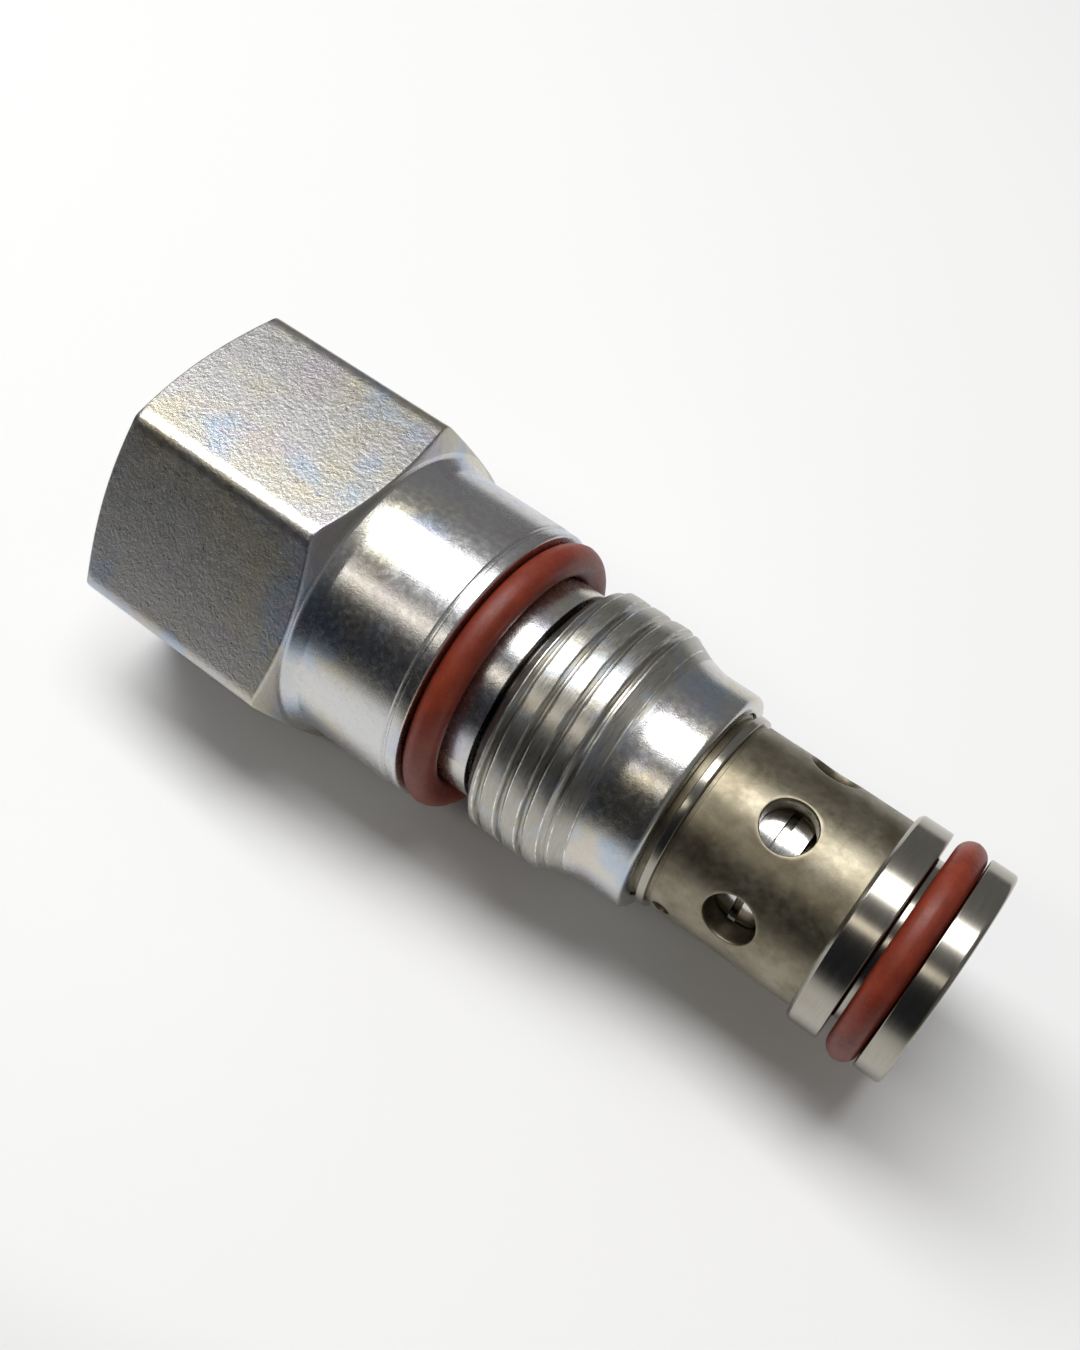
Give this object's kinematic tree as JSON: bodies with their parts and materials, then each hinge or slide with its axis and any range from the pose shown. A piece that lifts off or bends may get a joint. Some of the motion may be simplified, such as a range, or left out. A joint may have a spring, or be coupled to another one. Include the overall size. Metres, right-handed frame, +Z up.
{
  "type": "cartridge valve",
  "caption": "Screw-in hydraulic relief cartridge with a hexagon head, port thread, ported cage, two red O-rings and a pilot stage inside.",
  "frame": {"origin": "on the valve's axis in the plane of the shoulder that seats on the manifold", "axes": "+X along the valve's axis towards the open nose, +Z up with a flat of the hexagon facing down"},
  "size_m": [0.0726, 0.0304, 0.0268],
  "materials": {
    "zinc_plate": "zinc plated steel, pebbled on the hexagon and satin on the turned faces",
    "cage_steel": "hardened steel with a bronze-olive tint, ground on the lands",
    "ground_steel": "ground bright steel",
    "screw_steel": "blackened screw steel",
    "spring_steel": "drawn spring wire",
    "brass": "turned brass",
    "red_rubber": "brick-red moulded rubber with a light oil film",
    "black_rubber": "black moulded rubber",
    "glide_plastic": "white filled glide plastic"
  },
  "bodies": {
    "valve_body": {"valve_body": "zinc_plate", "cage": "cage_steel", "cage_lock_wire": "spring_steel", "cage_spigot_ring": "black_rubber", "port_ring": "red_rubber", "nose_ring": "red_rubber", "main_spring": "spring_steel", "main_spring_shim": "ground_steel", "pilot_seat": "ground_steel", "pilot_seat_ring": "black_rubber", "pilot_spring": "spring_steel", "seal_washer": "brass"},
    "main_poppet": {"main_poppet": "ground_steel", "poppet_glide_ring": "glide_plastic", "orifice_jet": "brass", "inlet_screen": "brass"},
    "pilot_poppet": {"pilot_poppet": "ground_steel"},
    "spring_guide": {"spring_guide": "ground_steel", "spring_guide_ring": "black_rubber", "pilot_spring_shim": "ground_steel"},
    "adjusting_screw": {"adjusting_screw": "screw_steel", "screw_stop_clip": "spring_steel"},
    "lock_nut": {"lock_nut": "zinc_plate"}
  },
  "joints": [
    {"name": "main_poppet_lift", "type": "slide", "parent": "valve_body", "child": "main_poppet", "axis": [-1, 0, 0], "range_m": [0, 0.0035], "stiffness_N_per_m": 2000, "springref_m": -0.006, "deforming": ["main_spring"]},
    {"name": "pilot_poppet_lift", "type": "slide", "parent": "valve_body", "child": "pilot_poppet", "axis": [-1, 0, 0], "range_m": [0, 0.0008], "stiffness_N_per_m": 500, "springref_m": -0.004, "deforming": ["pilot_spring"]},
    {"name": "adjusting_screw_turn", "type": "hinge", "parent": "spring_guide", "child": "adjusting_screw", "pos_m": [-0.02, 0, 0], "axis": [1, 0, 0], "range_deg": [-360, 540]},
    {"name": "adjuster_travel", "type": "slide", "parent": "valve_body", "child": "spring_guide", "axis": [1, 0, 0], "range_m": [-0.001, 0.0015]},
    {"name": "lock_nut_turn", "type": "hinge", "parent": "valve_body", "child": "lock_nut", "pos_m": [-0.0275, 0, 0], "axis": [1, 0, 0], "range_deg": [-60, 0]}
  ],
  "couplings": [
    {"joint": "adjusting_screw_turn", "follows": "adjuster_travel", "rad_per_m": 6283.2}
  ]
}
